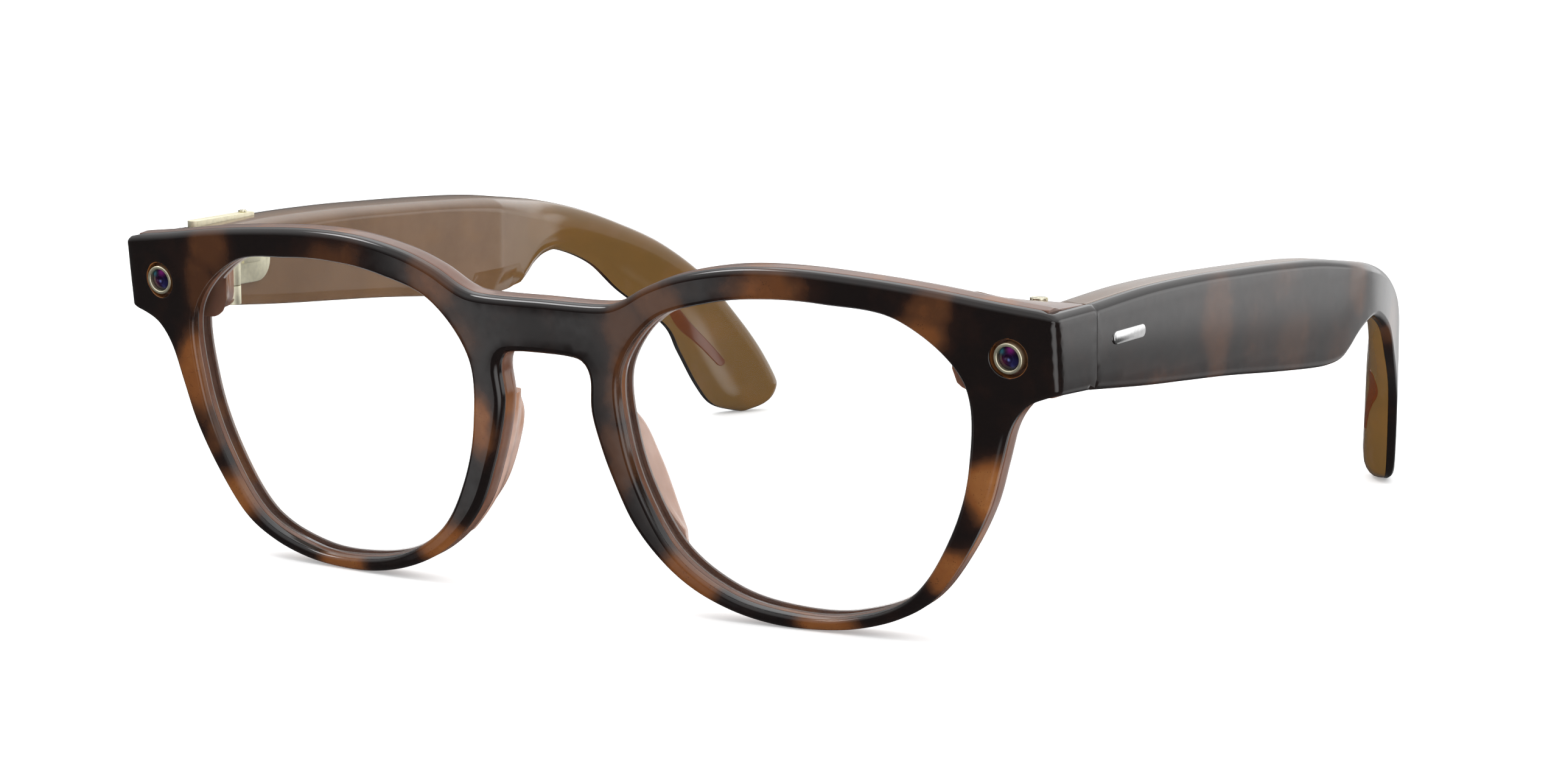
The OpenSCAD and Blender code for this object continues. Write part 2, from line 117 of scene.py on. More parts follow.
def even(line, step):
    """The line again, with points a step apart."""
    length = np.concatenate([[0], np.cumsum(np.linalg.norm(np.diff(line, axis=0), axis=1))])
    at = np.linspace(0, length[-1], max(2, round(length[-1] / step) + 1))
    return np.stack([np.interp(at, length, line[:, k]) for k in range(line.shape[1])], axis=1)


def outward(points, distance):
    p = np.array(points, float)
    size = np.linalg.norm(p, axis=1, keepdims=True)
    return p * (size + distance) / size


def arc(centre, radius, start, end, steps=8):
    turn = np.radians(np.linspace(start, end, steps + 1))
    return np.stack([centre[0] + radius * np.cos(turn), centre[1] + radius * np.sin(turn)], axis=1)


# ---- Slabs: an outline with holes, run between two depths, with rounded edges ----------------

EDGE_ROWS = 5
LAST_ROW = 1.2      # an extra row just past the rounding, so that its shading ends there
CROWN_PASSES = 14
SHARP = (1e-6, 0)


class Edge:
    """One closed outline, made of stretches: (points, near rounding, far rounding).
    A rounding is (how far it reaches in from the edge, how deep it is), or a function of a
    point that gives the two."""

    def __init__(self, stretches, hole=False, step=0.7):
        points, near, far = [], [], []
        for line, near_round, far_round in stretches:
            line = even(np.array(line, float), step)[:-1]
            points.append(line)
            near += [near_round(p) if callable(near_round) else near_round for p in line]
            far += [far_round(p) if callable(far_round) else far_round for p in line]
        self.points = np.vstack(points)
        self.rounds = [np.array(near, float), np.array(far, float)]
        after = np.roll(self.points, -1, axis=0)
        area = np.sum(self.points[:, 0] * after[:, 1] - after[:, 0] * self.points[:, 1])
        if (area > 0) == hole:
            self.points = self.points[::-1].copy()
            self.rounds = [np.roll(r[::-1], -1, axis=0) for r in self.rounds]
        along = np.roll(self.points, -1, axis=0) - self.points
        normal = np.stack([-along[:, 1], along[:, 0]], axis=1)
        normal /= np.linalg.norm(normal, axis=1, keepdims=True)
        mitre = normal + np.roll(normal, 1, axis=0)
        mitre /= np.linalg.norm(mitre, axis=1, keepdims=True)
        self.inward = mitre / np.maximum(0.6, np.sum(mitre * normal, axis=1))[:, None]


def distances(points, edges):
    """Distance of every point to every segment of the edges."""
    a = np.vstack([e.points for e in edges])
    b = np.vstack([np.roll(e.points, -1, axis=0) for e in edges])
    found = np.empty((len(points), len(a)))
    for i in range(0, len(points), 1000):
        p = points[i:i + 1000, None, :]
        share = np.sum((p - a) * (b - a), axis=2) / np.sum((b - a) ** 2, axis=1)
        share = np.clip(share, 0, 1)[..., None]
        found[i:i + 1000] = np.linalg.norm(a + share * (b - a) - p, axis=2)
    return found


def inside(points, edges):
    """Whether each point is inside the outline and outside its holes."""
    a = np.vstack([e.points for e in edges])
    b = np.vstack([np.roll(e.points, -1, axis=0) for e in edges])
    x, y = points[:, :1], points[:, 1:]
    crosses = (a[:, 1] > y) != (b[:, 1] > y)
    with np.errstate(divide="ignore", invalid="ignore"):
        at = a[:, 0] + (y - a[:, 1]) / (b[:, 1] - a[:, 1]) * (b[:, 0] - a[:, 0])
    return np.sum(crosses & (x < at), axis=1) % 2 == 1


def rounded(distance, rounds):
    """Depth lost near the edges. Small roundings are a little flatter than round."""
    share = np.clip(1 - distance / rounds[:, 0], 0, 1)
    power = np.where(rounds[:, 0] < 1.1, 1.5, 2)
    return np.max(rounds[:, 1] * (1 - (1 - share ** power) ** (1 / power)), axis=1)


def evened(values, triangles, moves, times):
    """The values, each drawn towards its neighbours' mean where moves says so."""
    links = np.vstack([triangles[:, [0, 1]], triangles[:, [1, 2]], triangles[:, [2, 0]]])
    links = np.vstack([links, links[:, ::-1]])
    count = np.maximum(1, np.bincount(links[:, 0], minlength=len(values)))
    for _ in range(times):
        beside = np.bincount(links[:, 0], values[links[:, 1]], len(values)) / count
        values = np.where(moves, 0.4 * values + 0.6 * beside, values)
    return values


def crowned(distance, rounds, crown, triangles):
    """Depth lost by a slight crown of the whole face."""
    reach, height = crown
    soft = distance[:, rounds[:, 0] > 0.3].min(axis=1)
    lost = height * np.clip(1 - soft / reach, 0, 1) ** 2
    return evened(lost, triangles, soft > 0.5, CROWN_PASSES)


def face(edges, which, spacing, crown=None):
    """Points, triangles and lost depth of one face, with rows of points along its rounded edges."""
    rounds = np.vstack([e.rounds[which] for e in edges])
    points = [e.points for e in edges]
    links, count = [], 0
    for e in edges:
        size = len(e.points)
        links += [(count + i, count + (i + 1) % size) for i in range(size)]
        count += size
    shares = [1 - math.cos(row / EDGE_ROWS * math.pi / 2) for row in range(1, EDGE_ROWS + 1)]
    for share in shares + [LAST_ROW]:
        for e in edges:
            wide = np.minimum(e.rounds[which][:, 0], np.roll(e.rounds[which][:, 0], 1))
            ring = e.points + e.inward * (wide * share)[:, None]
            level = np.min(distances(ring, edges) / rounds[:, 0], axis=1)
            kept = (level >= 0.985 * share) & (wide > 0.05) & inside(ring, edges)
            place = np.cumsum(kept) - 1 + count
            follow = np.roll(kept, -1) & kept
            links += [(place[i], place[(i + 1) % len(kept)]) for i in np.nonzero(follow)[0]]
            points.append(ring[kept])
            count += int(kept.sum())
    low, high = edges[0].points.min(0), edges[0].points.max(0)
    rows = np.arange(low[1], high[1], spacing * math.sqrt(3) / 2)
    grid = np.array([[x + (j % 2) * spacing / 2, y] for j, y in enumerate(rows)
                     for x in np.arange(low[0], high[0], spacing)])
    clear = np.all(distances(grid, edges) > LAST_ROW * rounds[:, 0] + 0.45 * spacing, axis=1)
    points = np.vstack(points + [grid[clear & inside(grid, edges)]])
    links = [(int(i), int(j)) for i, j in links]
    made = geometry.delaunay_2d_cdt([Vector(p) for p in points], links, [], 0, 1e-6)
    flat = np.array([v[:] for v in made[0]])
    triangles = np.array(made[2])
    triangles = triangles[inside(flat[triangles].mean(axis=1), edges)]
    border = {old: new for new, olds in enumerate(made[3]) for old in olds}
    border = [border[i] for i in range(sum(len(e.points) for e in edges))]
    away = distances(flat, edges)
    lost = rounded(away, rounds)
    if crown:
        lost += crowned(away, rounds, crown, triangles)
    return flat, triangles, lost, border


def make_object(name, vertices, faces, sharp=35):
    """A closed smooth mesh from points in the design frame, in millimetres."""
    mesh = bpy.data.meshes.new(name)
    moved = (np.asarray(vertices, float) + [0, -MID_Y, STAND_H]) * MM
    mesh.from_pydata(moved.tolist(), [], [list(map(int, f)) for f in faces])
    piece = bpy.data.objects.new(name, mesh)
    bpy.context.scene.collection.objects.link(piece)
    tidy(piece, sharp)
    return piece


def tidy(piece, sharp=35):
    """Welds the mesh, turns its faces outwards, and shades it smooth between sharp edges."""
    bm = bmesh.new()
    bm.from_mesh(piece.data)
    loose = [v for v in bm.verts if not v.link_faces]
    bmesh.ops.delete(bm, geom=loose, context="VERTS")
    bmesh.ops.remove_doubles(bm, verts=bm.verts, dist=2e-6)
    bmesh.ops.recalc_face_normals(bm, faces=bm.faces)
    bm.to_mesh(piece.data)
    bm.free()
    piece.data.shade_smooth()
    piece.data.set_sharp_from_angle(angle=math.radians(sharp))


def slab(name, edges, near, far, place, spacing=1.3, crown=None, walls=None, sharp=35):
    """A solid between the depths near(p) and far(p), put in space by place(p, depth).
    walls gives a hole's own rows of (depth, distance into the material)."""
    front, front_faces, front_lost, front_rim = face(edges, 0, spacing, crown)
    back, back_faces, back_lost, back_rim = face(edges, 1, spacing)
    front_depth = near(front) + front_lost
    back_depth = far(back) - back_lost
    vertices = [place(front, front_depth), place(back, back_depth)]
    faces = list(front_faces) + list(back_faces[:, ::-1] + len(front))
    count = len(front) + len(back)
    first = 0
    for k, e in enumerate(edges):
        size = len(e.points)
        a = np.array(front_rim[first:first + size])
        b = np.array(back_rim[first:first + size])
        first += size
        rows = [a]
        if walls and k in walls:
            steps = [(np.full(size, depth), inset) for depth, inset in walls[k]]
        else:
            steps = [(front_depth[a] + (back_depth[b] - front_depth[a]) * s, 0)
                     for s in (0.25, 0.5, 0.75)]
        for depth, inset in steps:
            vertices.append(place(e.points + e.inward * inset, depth))
            rows.append(np.arange(count, count + size))
            count += size
        rows.append(b + len(front))
        for upper, lower in zip(rows, rows[1:]):
            faces += [(upper[i], lower[i], lower[(i + 1) % size], upper[(i + 1) % size])
                      for i in range(size)]
    return make_object(name, np.vstack(vertices), faces, sharp)


# ---- Shapes that are cut away or joined on ---------------------------------------------------

def solid_box(low, high):
    low, high = np.array(low, float), np.array(high, float)
    corners = np.array([[x, y, z] for x in (0, 1) for y in (0, 1) for z in (0, 1)])
    faces = [(0, 1, 3, 2), (4, 6, 7, 5), (0, 4, 5, 1), (2, 3, 7, 6), (0, 2, 6, 4), (1, 5, 7, 3)]
    return make_object("tool", low + corners * (high - low), faces)


def solid_rod(at, radius, length, sides=48):
    """A rod round the line from at, along length."""
    at, length = np.array(at, float), np.array(length, float)
    along = length / np.linalg.norm(length)
    across = np.cross(along, [1, 0, 0] if abs(along[0]) < 0.5 else [0, 1, 0])
    across /= np.linalg.norm(across)
    beside = np.cross(along, across)
    turn = np.linspace(0, 2 * math.pi, sides, endpoint=False)[:, None]
    ring = at + radius * (np.cos(turn) * across + np.sin(turn) * beside)
    faces = [(i, (i + 1) % sides, (i + 1) % sides + sides, i + sides) for i in range(sides)]
    faces += [range(sides), range(sides, 2 * sides)]
    return make_object("tool", np.vstack([ring, ring + length]), faces)


def combine(piece, tool, operation, sharp=35):
    """Cuts the tool from the piece, or joins it on, and removes the tool."""
    change = piece.modifiers.new("change", "BOOLEAN")
    change.object, change.operation, change.solver = tool, operation, "EXACT"
    bpy.context.view_layer.update()
    solved = piece.evaluated_get(bpy.context.evaluated_depsgraph_get())
    mesh = bpy.data.meshes.new_from_object(solved)
    piece.modifiers.clear()
    piece.data = mesh
    bpy.data.objects.remove(tool)
    tidy(piece, sharp)


def softened(node, width=0.12):
    """A copy of a CAD node with its hard edges rounded."""
    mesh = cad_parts[node].data.copy()
    mesh.materials.clear()
    piece = bpy.data.objects.new(node + "_finished", mesh)
    bpy.context.scene.collection.objects.link(piece)
    bm = bmesh.new()
    bm.from_mesh(mesh)
    bmesh.ops.remove_doubles(bm, verts=bm.verts, dist=1e-6)
    bmesh.ops.dissolve_limit(bm, angle_limit=math.radians(1), verts=bm.verts, edges=bm.edges)
    bm.to_mesh(mesh)
    bm.free()
    bevel = piece.modifiers.new("rounding", "BEVEL")
    bevel.width, bevel.segments, bevel.limit_method = width * MM, 3, "ANGLE"
    bevel.angle_limit = math.radians(30)
    bpy.context.view_layer.update()
    solved = piece.evaluated_get(bpy.context.evaluated_depsgraph_get())
    piece.data = bpy.data.meshes.new_from_object(solved)
    piece.modifiers.clear()
    tidy(piece, 30)
    return piece


# ---- Front -----------------------------------------------------------------------------------

FLANK_L = 10.7      # length of the flank, from the corner back to the joint
FOOT_Z = 10.4       # heights of the end piece's lower and upper edge, at the corner
BROW_Z = 20.8
BLOCK_DEPTH = 8     # how far behind the face the top of the end block meets it
BLOCK_X = (57.5, 62.6, FLANK_X - SKIN_T)
MITRE_L = 2.3       # how far before the corner the outer layer starts to turn
CORNER_R = 0.9
SIN, COS = math.sin(LEAN), math.cos(LEAN)


def leaned(x, y, z):
    """Front frame to design frame: the lens plane leans forward."""
    return np.stack([x, COS * y - SIN * z, SIN * y + COS * z], axis=-1)


def on_face(p, depth):
    """A place on the front, which wraps round the face."""
    return leaned(p[:, 0], WRAP_R - np.sqrt((WRAP_R - depth) ** 2 - p[:, 0] ** 2), p[:, 1])


def on_shell(p, depth):
    """A place on the outer layer, which turns the corner and runs back to the joint."""
    def unrounded(across):
        mitre = np.clip((across - FLANK_X + MITRE_L) / MITRE_L, 0, 1) * depth
        x = np.minimum(across, FLANK_X) - mitre
        start = leaned(x, WRAP_R - np.sqrt((WRAP_R - depth) ** 2 - x ** 2), p[:, 1])
        height = END_Z[0] + (p[:, 1] - FOOT_Z) * (END_Z[1] - END_Z[0]) / (BROW_Z - FOOT_Z)
        end = np.stack([x, np.full_like(x, JOINT_Y), height], axis=1)
        share = np.clip((across - FLANK_X) / FLANK_L, 0, 1)[:, None]
        return start + share * (end - start)
    across = np.abs(p[:, 0])
    reach = CORNER_R * (1 - np.clip(depth / SKIN_T, 0, 1)) + 1e-4
    share = ((across - FLANK_X) / reach / 2 + 0.5)[:, None]
    turned = ((1 - share) ** 2 * unrounded(FLANK_X - reach)
              + 2 * share * (1 - share) * unrounded(np.full_like(across, FLANK_X))
              + share ** 2 * unrounded(FLANK_X + reach))
    made = np.where((share > 0) & (share < 1), turned, unrounded(across))
    made[:, 0] *= np.sign(p[:, 0] + 1e-9)
    return made


def mirrored(line):
    return np.array(line)[::-1] * [-1, 1]


def both_sides(stretches):
    """The stretches of the left half, then the same mirrored, in one round."""
    return stretches + [(mirrored(line), near, far) for line, near, far in stretches[::-1]]


def opening_edges(near, far, grow=0):
    lens = loop(outward(OPENING, grow))
    lens = np.vstack([lens, lens[:1]])
    return [Edge([(lens * [side, 1] + [side * LENS_X, 0], near, far)], hole=True)
            for side in (1, -1)]


def flat(value):
    return lambda p: np.full(len(p), float(value))


def front_outer():
    back = FLANK_X + FLANK_L
    bevel, joint, inner = (0.75, 0.7), (0.05, 0.04), (0.12, 0.08)
    top = np.vstack([curve(BROW), [[back, BROW_Z]]])
    foot = arc((back - 1, FOOT_Z + 1), 1, 0, -90)
    low = np.vstack([[[back - 1, FOOT_Z]], curve(RIM)])
    end = [[back, BROW_Z], [back, FOOT_Z + 1]]
    outline = Edge(both_sides([(top, bevel, inner), (end, joint, inner),
                               (foot, joint, inner), (low, bevel, inner)]))
    circles = [arc((side * EYE_X, EYE_Z), RECESS_D / 2, 0, 360, 40) for side in (1, -1)]
    recesses = [Edge([(c, (0.12, 0.12), SHARP)], hole=True, step=0.35) for c in circles]
    edges = [outline] + opening_edges((0.45, 0.45), inner) + recesses
    return slab("front_shell", edges, flat(0), flat(SKIN_T), on_shell, 1.1, crown=(6, 0.08))


def end_block(side):
    """The solid end piece behind the lens plane, with a hollow inner flank."""
    brow, start_y = curve(BROW), 5.9
    first_x, inner_x, outer_x = BLOCK_X
    flank = curve([[first_x, start_y], [60, 9], [61.8, 11.6], [inner_x, JOINT_Y]])

    def soft_start(p):
        share = 1 - (p[1] - start_y) / (JOINT_Y - start_y)
        return 1.3 + 2.4 * share, 1.3 + 1.5 * share
    plan = [(flank, soft_start, (2.2, 2.6)),
            ([[inner_x, JOINT_Y], [outer_x, JOINT_Y]], (0.1, 0.1), (0.5, 0.5)),
            ([[outer_x, JOINT_Y], [outer_x, start_y]], (0.08, 0.05), (0.08, 0.05)),
            ([[outer_x, start_y], [first_x, start_y]], SHARP, SHARP)]
    plan = [(np.array(line) * [side, 1], near, far) for line, near, far in plan]

    def top(p):
        height = np.interp(np.abs(p[:, 0]), brow[:, 0], brow[:, 1])
        start = SIN * BLOCK_DEPTH + COS * height - 0.12
        share = np.clip((p[:, 1] - start_y) / (JOINT_Y - start_y), 0, 1)
        return -(start + share * (END_Z[1] - start))
    return slab("end_block", [Edge(plan)], top, flat(-END_Z[0]),
                lambda p, d: np.stack([p[:, 0], p[:, 1], -d], axis=1), 1.0)


def front_inner():
    edge_x, edge_top, edge_foot = FLANK_X - SKIN_T, 21.04, 10.15
    brow, rim = curve(BROW), curve(RIM)
    brow = np.vstack([brow[brow[:, 0] < edge_x], [[edge_x, edge_top]]])
    rim = np.vstack([[[edge_x, edge_foot]], rim[rim[:, 0] < edge_x - 0.3]])
    outline = Edge(both_sides([(brow, (0.1, 0.06), (1.5, 1.9)),
                               ([[edge_x, edge_top], [edge_x, edge_foot]], SHARP, (0.3, 0.3)),
                               (rim, (0.1, 0.06), (1.3, 1.7))]))
    edges = [outline] + opening_edges((0.1, 0.06), (0.9, 0.9))
    groove = [(LENS_DEPTH - 0.05, 0), (LENS_DEPTH - 0.05, LENS_BITE + 0.05),
              (LENS_DEPTH + LENS_T + 0.05, LENS_BITE + 0.05), (LENS_DEPTH + LENS_T + 0.05, 0)]
    piece = slab("front_backing", edges, flat(SKIN_T), flat(FRONT_T), on_face, 1.3,
                 walls={1: groove, 2: groove})
    for side in (1, -1):
        combine(piece, end_block(side), "UNION")
        knuckle_room = solid_rod([side * PIVOT[0], PIVOT[1], 5], KNUCKLE_ROOM_R, [0, 0, 25])
        combine(piece, knuckle_room, "DIFFERENCE")
        leaf_pocket = sorted((side * 62, side * 69.6))
        combine(piece, solid_box([leaf_pocket[0], JOINT_Y - 0.9, 11.9],
                                 [leaf_pocket[1], JOINT_Y + 1, 20.1]), "DIFFERENCE")
        at = leaned(*(np.array([v]) for v in (side * EYE_X, EYE_FACE - 2, EYE_Z)))[0]
        along = leaned(*(np.array([v]) for v in (0, 6.2, 0)))[0]
        combine(piece, solid_rod(at, RING_D / 2 + 0.05, along), "DIFFERENCE")
    return piece


LENS_RIM = (0.86, 0.25)   # ground safety edge round each lens, partly in the groove


def lens(side):
    edge = loop(outward(OPENING, LENS_BITE))
    edge = np.vstack([edge, edge[:1]]) * [side, 1] + [side * LENS_X, 0]
    return slab("lens_" + ("left" if side > 0 else "right") + "_blank",
                [Edge([(edge, LENS_RIM, LENS_RIM)])], flat(LENS_DEPTH),
                flat(LENS_DEPTH + LENS_T), on_face, 4)


def nose_pad(side):
    """A fin swept along the nose edge. Sections are (into the rim, depth behind the face)."""
    edge = even(curve(NOSE_EDGE), 0.5)
    edge = edge[edge[:, 1] > -16.4]
    along = np.gradient(edge, axis=0)
    along /= np.linalg.norm(along, axis=1, keepdims=True)
    into = np.stack([-along[:, 1], along[:, 0]], axis=1)
    stations = [4.3, 3.4, 2, -0.2, -3.4, -7.3, -11.2, -14.2, -15.4, -16.4]
    heights = [5.6, 6.6, 8.0, 9.2, 9.5, 9.6, 8.8, 7.2, 6.1, 5.25]
    crest = np.interp(-edge[:, 1], -np.array(stations), heights)
    crest = np.convolve(np.pad(crest, 4, "edge"), np.ones(9) / 9, "valid")
    vertices = []
    for p, n, high in zip(edge, into, crest):
        rise = high - 5.2
        body = [[0.12, 2.25], [0.1, 3.6], [0.22, 5.2], [0.5 + 0.10 * rise, 5.2 + 0.45 * rise],
                [0.75 + 0.13 * rise, 5.2 + 0.86 * rise], [1.25 + 0.14 * rise, high],
                [1.95 + 0.1 * rise, 5.2 + 0.84 * rise], [2.5, 5.2 + 0.4 * rise], [2.75, 5.15],
                [1.7, 4.9], [1.4, 3.6], [1.38, 2.25], [0.8, 2.2]]
        section = loop(body, 3)
        section[:, 0] = 0.1 + (section[:, 0] - 0.1) * min(1, 0.2 + rise / 2.2)
        flat_place = p + n * section[:, :1]
        vertices.append(on_face(flat_place, section[:, 1]) * [side, 1, 1])
    size, count = len(vertices[0]), len(vertices)
    faces = [(k * size + i, k * size + (i + 1) % size,
              (k + 1) * size + (i + 1) % size, (k + 1) * size + i)
             for k in range(count - 1) for i in range(size)]
    faces += [range(size), range((count - 1) * size, count * size)]
    return make_object("nose_pad_" + ("left" if side > 0 else "right") + "_shaped",
                       np.vstack(vertices), faces, 50)


# ---- Camera and capture light ----------------------------------------------------------------

def lathe(name, profile, side, closed, turns=72):
    """A profile of (radius, depth behind the face) turned about the camera's axis."""
    profile = np.array(profile, float)
    turn = np.linspace(0, 2 * math.pi, turns, endpoint=False)
    vertices = [leaned(side * EYE_X + profile[:, 0] * math.cos(t), EYE_FACE + profile[:, 1],
                       EYE_Z + profile[:, 0] * math.sin(t)) for t in turn]
    size = len(profile)
    spans = range(size if closed else size - 1)
    faces = [(k * size + i, k * size + (i + 1) % size, (k + 1) % turns * size + (i + 1) % size,
              (k + 1) % turns * size + i) for k in range(turns) for i in spans]
    return make_object(name, np.vstack(vertices), faces, 40)


def eye_ring(side, name):
    """Metal ring, its front edge rolled over."""
    outer, bore, front, back, lip = RING_D / 2, RING_BORE / 2, -0.1, 2.6, 0.14
    profile = np.vstack([arc((bore + lip, front + lip), lip, 180, 270),
                         arc((outer - lip, front + lip), lip, 270, 360),
                         [[outer, back], [bore, back]]])
    return lathe(name, profile, side, True)


def eye_window(side, name):
    """Domed window: a dark colour, with painted reflections standing for the colours its coating
    throws back.
    """
    radius, dome = RING_BORE / 2 - 0.05, 3.0
    reach = np.linspace(0, radius, 26)
    front = np.stack([reach, 0.1 + dome - np.sqrt(dome ** 2 - reach ** 2)], axis=1)
    piece = lathe(name, np.vstack([front, [[radius, 1.5], [0, 1.5]]]), side, False)
    centre = leaned(*(np.array([v]) for v in (side * EYE_X, EYE_FACE, EYE_Z)))[0]
    centre = (centre + [0, -MID_Y, STAND_H]) * MM
    tint = piece.data.attributes.new("tint", "FLOAT_COLOR", "POINT")
    # Painted reflections of the coating: centre, size and colour of each glint.
    painted_glints = [((0.2, 0.85), 0.34, (0.20, 0.0, 0.17)), ((-0.7, 0.6), 0.24, (0.03, 0.16, 0.22)),
              ((0.6, -0.35), 0.5, (0.008, 0.010, 0.045)),
              ((-0.6, -0.3), 0.45, (0.045, 0.002, 0.012)),
              ((0.04, -0.1), 0.11, (0.12, 0.15, 0.36)), ((-0.28, -0.05), 0.1, (0.04, 0.035, 0.08)),
              ((0.3, -0.62), 0.18, (0.02, 0.024, 0.08))]
    for i, vertex in enumerate(piece.data.vertices):
        x, z = (vertex.co.x - centre[0]) / MM / radius, (vertex.co.z - centre[2]) / MM / radius
        colour = np.array([0.003, 0.001, 0.006])
        ring = math.exp(-((math.hypot(x, z) - 0.45) / 0.05) ** 2)
        colour = colour + ring * np.array([0.004, 0.004, 0.012])
        for (gx, gz), size, glow in painted_glints:
            away = (x - gx) ** 2 + (z - gz) ** 2
            colour = colour + 0.7 * np.array(glow) * math.exp(-away / size ** 2)
        tint.data[i].color = (*colour, 1)
    return piece


# ---- Temples ---------------------------------------------------------------------------------

def on_temple(side):
    def place(p, depth):
        bend = BEND_K * np.maximum(p[:, 0] - BEND_Y, 0) ** 2
        return np.stack([side * (FLANK_X - bend - depth), p[:, 0], p[:, 1]], axis=1)
    return place


def temple_edges(top_round, low_round, joint_round):
    """Temple seen from the side."""
    return [Edge([(curve(TEMPLE_TOP), *top_round), (curve(TEMPLE_LOW), *low_round),
                  ([TEMPLE_LOW[-1], TEMPLE_TOP[0]], *joint_round)])]


def temple_depth(p):
    table = np.array(TEMPLE_DEPTH)
    smooth = np.vstack([table[:1], curve(table[1:], 6)])
    return np.interp(p[:, 0], smooth[:, 0], smooth[:, 1])


def towards_hook(plain, hook):
    """A rounding that turns from the plain one into the hook's, along the temple. It is never
    deeper than the layer is thick."""
    def at(p):
        share = min(1, max(0, (p[0] - 66) / 50))
        share = share * share * (3 - 2 * share)
        wide, deep = (a + share * (b - a) for a, b in zip(plain, hook))
        return wide, min(deep, 0.85 * (temple_depth(p[None])[0] - SKIN_T))
    return at


SPEAKER_SLOTS = (40, 43.5, 47)     # where they start, in the temple's underside
SLIDER_SLOT = ([60, 30.2, 14.3], [69.5, 35.6, 16.3])
BUTTON_SLOT = ([-72.6, 15.5, 20.4], [-70.6, 29.2, 30])


def temple_outer(side, name):
    edges = temple_edges(((1.0, 0.8), (0.1, 0.06)), ((0.9, 0.8), (0.1, 0.06)),
                         ((0.14, 0.14), (0.1, 0.06)))
    piece = slab(name, edges, flat(0), flat(SKIN_T), on_temple(side), 1.3, crown=(7, 0.16))
    if side < 0:
        combine(piece, solid_box(*BUTTON_SLOT), "DIFFERENCE")
    return piece


HOOK_ROUND = (3.2, 2.6)
INNER_EDGES = temple_edges(((0.1, 0.06), towards_hook((1.6, 4.2), HOOK_ROUND)),
                           ((0.1, 0.06), towards_hook((1.4, 1.7), HOOK_ROUND)),
                           ((0.1, 0.08), (0.25, 0.25)))


def inner_surface(p):
    """Depth of the temple's inner face, rounded edges and all."""
    rounds = np.vstack([e.rounds[1] for e in INNER_EDGES])
    return temple_depth(p) - rounded(distances(p, INNER_EDGES), rounds)


def temple_inner(side, name):
    piece = slab(name, INNER_EDGES, flat(SKIN_T), temple_depth, on_temple(side), 0.9)
    knuckle_room = solid_rod([side * PIVOT[0], PIVOT[1], 0], KNUCKLE_ROOM_R, [0, 0, 30])
    combine(piece, knuckle_room, "DIFFERENCE")
    low, high = sorted((side * 69.0, side * 69.8))
    for first in SPEAKER_SLOTS:
        combine(piece, solid_box([low, first, 0], [high, first + 2, 11]), "DIFFERENCE")
    if side < 0:
        combine(piece, solid_box(*BUTTON_SLOT), "DIFFERENCE")
    else:
        combine(piece, solid_box(*SLIDER_SLOT), "DIFFERENCE")
    return piece


def tip_core(side, name):
    """Amber core, seen as a slim strip in the inner face of the temple tip."""
    a, b = np.array(CORE, float)
    lean_angle = math.degrees(math.atan2(*(b - a)[::-1]))
    width = 1.3
    outline = np.vstack([arc(a, width / 2, lean_angle + 90, lean_angle + 270),
                         arc(b, width / 2, lean_angle - 90, lean_angle + 90)])
    outline = np.vstack([outline, outline[:1]])
    edges = [Edge([(outline, (0.1, 0.1), (0.12, 0.06))], step=0.3)]
    return slab(name, edges, lambda p: inner_surface(p) - 0.6, lambda p: inner_surface(p) + 0.12,
                on_temple(side), 0.4)


# ---- Tortoise pattern: soft amber patches in the dark layer, and the painted recess glow -----

# Patches of the front: x and height of the middle, half width, half height, strength.
FRONT_PATCHES = [
    (-56.8, 21, 3.4, 5, 0.45), (-58.8, 14, 3, 6, 0.4), (-34, 21.2, 6, 3.4, 0.42),
    (-17.5, 19, 4.4, 4.6, 0.5), (-12.8, 12, 2.6, 5, 0.32), (-62, 2.5, 3, 7, 0.8),
    (-59.6, -5, 2, 5, 0.4), (-55.5, -14.4, 4.2, 3.8, 0.85), (-37.3, -22, 4.2, 3.2, 0.85),
    (-18.9, -16.8, 4, 4.2, 0.85), (-10.8, 1.2, 2.2, 4.6, 0.8),
    (13.5, 16, 4.2, 5, 0.42), (12.8, 8.5, 3.2, 5.5, 0.5), (11, -1.5, 2.6, 5, 0.45),
    (18.5, 19.6, 3.4, 3, 0.5), (35, 22, 6, 3.2, 0.6), (56.6, 20.4, 2.8, 4, 0.5),
    (54.8, 17, 4, 2.6, 0.7), (63.2, -2.4, 4, 4.4, 0.95), (57.6, -12.8, 3.2, 3, 0.8),
    (40, -21.6, 4.2, 3, 0.85), (21.5, -15.6, 4.4, 4.6, 0.8)]
# Patches of the temples, seen from the side: distance behind the bridge and height.
TEMPLE_PATCHES = [
    (50, 15, 5, 9, 0.4), (62, 12, 4, 6, 0.22), (74, 9, 7, 5.5, 0.3), (71, 18, 5, 4, 0.25),
    (96, 15, 4, 6, 0.4), (90, 6, 5, 4, 0.25), (34, 8.8, 8, 2.6, 0.25), (118, 6, 6, 4, 0.45),
    (24, 10, 5, 3, 0.15)]


NOISE_SEED = 590


def painted_recess_glow(points):
    """Painted amber glow, standing for light in the walls of the two round recesses."""
    reach = np.hypot(np.abs(points[:, 0]) - EYE_X, COS * points[:, 2] - SIN * points[:, 1] - EYE_Z)
    depth = COS * points[:, 1] + SIN * points[:, 2] - EYE_FACE
    return np.where((reach < RECESS_D / 2 + 0.08) & (depth > 0.05), 0.95, 0.0)


